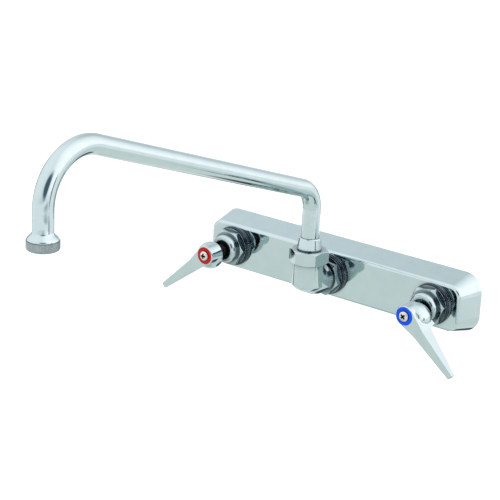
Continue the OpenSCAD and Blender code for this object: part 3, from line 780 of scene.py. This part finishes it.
flare = []
for k in range(1, STEPS + 1):
    t = k / STEPS
    swing = (1 - math.cos(math.pi * t)) / 2
    flare.append((TUBE_R + (FLARE_R - TUBE_R) * (STRAIGHT * t + (1 - STRAIGHT) * swing),
                  LEG_END_Z + (FLARE_BASE + RIM - LEG_END_Z) * t))
flare += [(FLARE_R, FLARE_BASE + BREAK), (FLARE_R - BREAK, FLARE_BASE), (SPIGOT_R, FLARE_BASE),
          (SPIGOT_R, MOUTH_Z), (MOUTH_R, MOUTH_Z), (MOUTH_R, FLARE_BASE)]
print("flare:", len(flare), "rings")

# %% [markdown]
# The outline could be spun on its own, but a seam would be left where it meets the tube, and chrome shows that as a
# line. Instead its rings are carried on from the tube's own last ring, point by point, so the tube, the flare and
# the bore are one closed skin. The foot is closed the same way.
# %% Carry the tube on into its mouth
FINDS = 1e-5      # how near a point has to be to count as on a ring


def ring_at(shape, centre, height, radius):
    """The points of a ring round a vertical axis, in order of angle."""
    ring = [v for v in shape.verts if abs(v.co.z - height) < FINDS
            and abs(math.hypot(v.co.x, v.co.y - centre) - radius) < FINDS]
    return sorted(ring, key=lambda v: math.atan2(v.co.y - centre, v.co.x))


def carry_on(shape, ring, centre, profile):
    """Adds rings of these (radius, height) after a ring and joins them up. Returns the last."""
    for radius, height in profile:
        following = []
        for v in ring:
            a = math.atan2(v.co.y - centre, v.co.x)
            following.append(shape.verts.new((radius * math.cos(a), centre + radius * math.sin(a), height)))
        close(shape, ring, following)
        ring = following
    return ring


BORE_R = TUBE_R - TUBE_WALL
shape = bmesh.new()
shape.from_mesh(tube.data)
bmesh.ops.remove_doubles(shape, verts=shape.verts, dist=WELD)
last = carry_on(shape, ring_at(shape, far_y, LEG_END_Z, TUBE_R), far_y, flare)
close(shape, last, ring_at(shape, far_y, LEG_END_Z, BORE_R))
close(shape, ring_at(shape, RISER_Y, FOOT_Z, BORE_R), ring_at(shape, RISER_Y, FOOT_Z, TUBE_R))
bmesh.ops.recalc_face_normals(shape, faces=shape.faces)
open_edges = sum(len(e.link_faces) != 2 for e in shape.edges)
shape.to_mesh(tube.data)
shape.free()
smooth_by_angle(tube, degrees=30)
dress(tube, "chrome")
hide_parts("swing_nozzle")
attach(tube, "nozzle")
print("nozzle:", len(tube.data.polygons), "faces,", open_edges, "open edges")

# %% [markdown]
# ## Pipe threads on the inlets
# Behind the wall each inlet is a half inch pipe shank. Its thread has 14 turns to the inch, one sharp ridge wound
# round the shank, so it is drawn as a spiral with a three-sided section: Geometry Nodes wind it from its radius,
# its pitch and its length. The shank under it is drawn in to the bottom of the thread, so that the crests stay at
# the pipe's real size.
# %% Wind the threads
INCH = 0.0254
PITCH, SHANK_R, THREAD_DEEP, SHANK_END = INCH / 14, 0.01067, 0.00085, 0.028
THREAD_LONG, THREAD_START = 0.019, 0.0015      # its length, and the plain lead before it
FACES_IN_TURN = 48
ROOT_R = SHANK_R - THREAD_DEEP

tree = Tree("pipe_thread")
for name in ("Root radius", "Depth", "Pitch", "Length"):
    tree.size(name)
tree.size("Faces in a turn", "NodeSocketInt")
turns = tree.add("ShaderNodeMath", {0: tree.given("Length"), 1: tree.given("Pitch")}, operation="DIVIDE")
# The section is a triangle round its own middle, which is a third of the thread's depth above its foot.
middle_r = tree.add("ShaderNodeMath", {0: tree.given("Depth"), 1: 1 / 3, 2: tree.given("Root radius")},
                    operation="MULTIPLY_ADD")
wound = tree.add("GeometryNodeCurveSpiral", {
    "Resolution": tree.given("Faces in a turn"), "Rotations": turns.outputs[0], "Height": tree.given("Length"),
    "Start Radius": middle_r.outputs[0], "End Radius": middle_r.outputs[0]})
upright = tree.add("GeometryNodeSetCurveNormal", {"Curve": wound.outputs[0]}, mode="Z_UP")
section_r = tree.add("ShaderNodeMath", {0: tree.given("Depth"), 1: 2 / 3}, operation="MULTIPLY")
section = tree.add("GeometryNodeCurvePrimitiveCircle", {"Resolution": 3, "Radius": section_r.outputs[0]})
ridge = tree.add("GeometryNodeCurveToMesh", {"Curve": upright.outputs[0], "Profile Curve": section.outputs[0],
                                             "Fill Caps": True})
tree.finish(ridge.outputs[0], FINISH["brass"])

ridges = []
for x in VALVE_X.values():
    ridge = new_object("ridge", bpy.data.meshes.new("ridge"))
    tree.grow(ridge, {"Root radius": ROOT_R, "Depth": THREAD_DEEP, "Pitch": PITCH, "Length": THREAD_LONG,
                      "Faces in a turn": FACES_IN_TURN})
    start = Matrix.Translation((x, SHANK_END - THREAD_START, 0))
    ridge.data.transform(start @ Matrix.Rotation(math.radians(90), 4, "X"))
    ridges.append(ridge)
    print("thread at", x, len(ridge.data.polygons), "faces")

# %% [markdown]
# The casting itself is a copy of the frame's solid. Only the points on the shanks' skins behind the wall are drawn
# in, towards their own axis, and the two ridges are then laid over them as part of the same mesh. A boolean could
# weld them, but the join lies at the bottom of the thread, where it can't be seen.
# %% Draw the shanks in and put the threads on
BEHIND, ON_SKIN = -0.002, 0.0001      # how far back a point has to lie, and how near the shank's skin
casting = copy_of("mixing_body", "mixing_body_cast")
moved = 0
for v in casting.data.vertices:
    x = min(VALVE_X.values(), key=lambda x: abs(v.co.x - x))
    away = math.hypot(v.co.x - x, v.co.z)
    if v.co.y > BEHIND and abs(away - SHANK_R) < ON_SKIN:
        share = ROOT_R / away
        v.co.x, v.co.z = x + (v.co.x - x) * share, v.co.z * share
        moved += 1
whole = bmesh.new()
for piece in (casting, *ridges):
    whole.from_mesh(piece.data)
whole.to_mesh(casting.data)
whole.free()
for ridge in ridges:
    bpy.data.objects.remove(ridge)
smooth_by_angle(casting, degrees=30)
dress(casting, "brass")
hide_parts("mixing_body")
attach(casting, "faucet_body")
print("mixing body:", moved, "points drawn in,", len(casting.data.polygons), "faces")

# %% [markdown]
# ## Handle screws
# Each lever is held by a stainless pan-head screw with a cross recess. What makes it read as a screw from a step
# away is the recess: four wings that taper towards the bottom, dark inside because almost no light gets out again.
# The head is spun from its outline, and the recess is cut with a tapered cross.
# %% Tools for the screws
WING_TOP, WING_FLOOR = (0.0028, 0.00082), (0.0012, 0.0006)      # a wing's reach and half its width


def spun(name, outline, x, sides=72):
    """A solid spun round the valve axis at x from (radius, distance from the wall) points, from axis to axis."""
    shape = bmesh.new()
    tip = shape.verts.new((x, -outline[0][1], 0))
    tail = shape.verts.new((x, -outline[-1][1], 0))
    rings = [circle(shape, x, r, -y, sides) for r, y in outline[1:-1]]
    for k in range(sides):
        shape.faces.new((tip, rings[0][k - 1], rings[0][k]))
        shape.faces.new((tail, rings[-1][k], rings[-1][k - 1]))
    for a, b in zip(rings, rings[1:]):
        close(shape, a, b)
    return object_from(shape, name)


def recess(x, top, floor, turn):
    """A tapered cross, wide at the top and narrow at the floor, turned by that many degrees."""
    shape = bmesh.new()
    rings = []
    for y, reach, half in ((top, *WING_TOP), (floor, *WING_FLOOR)):
        ring = []
        for wing in range(4):
            a = math.radians(wing * 90 + turn)
            c, s = math.cos(a), math.sin(a)
            for across in (-half, half):
                ring.append(shape.verts.new((x + c * reach - s * across, -y, s * reach + c * across)))
            corner, far = a + math.pi / 4, half * math.sqrt(2)
            ring.append(shape.verts.new((x + math.cos(corner) * far, -y, math.sin(corner) * far)))
        rings.append(ring)
    close(shape, *rings)
    shape.faces.new(rings[0])
    shape.faces.new(rings[1][::-1])
    return object_from(shape, "recess")


print("tools for the screws ready")

# %% [markdown]
# A screw stops where it is tight, so the two crosses stand at different turns. The ends of each screw are read from
# the box of the frame's own, so it can stand in for it without touching anything new.
# %% Cut the handle screws
HEAD_R, HEAD_CROWN, HEAD_DEEP, STEM_R = 0.00415, 0.0015, 0.0039, 0.0019
RECESS_ABOVE, RECESS_DEEP = 0.0005, 0.0026
CROWN = [math.radians(t) for t in range(18, 90, 9)]             # the angles at which the domed top is drawn

for side, turn in (("hot", 0), ("cold", 45)):
    node = side + "_handle_screw"
    back, front = -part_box(node)[1].y, -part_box(node)[0].y
    head_back = front - HEAD_DEEP
    outline = [(0, front)]
    outline += [(HEAD_R * math.sin(a), front - HEAD_CROWN * (1 - math.cos(a))) for a in CROWN]
    outline += [(HEAD_R, front - HEAD_CROWN), (HEAD_R, head_back), (STEM_R, head_back), (STEM_R, back), (0, back)]
    screw = spun(node + "_cross", outline, VALVE_X[side])
    cross = recess(VALVE_X[side], front + RECESS_ABOVE, front - RECESS_DEEP, turn)
    join_or_cut(screw, cross, "DIFFERENCE")
    smooth_by_angle(screw, degrees=35)
    dress(screw, "screw_steel")
    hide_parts(node)
    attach(screw, side + "_handle")
    print(screw.name, len(screw.data.polygons), "faces")
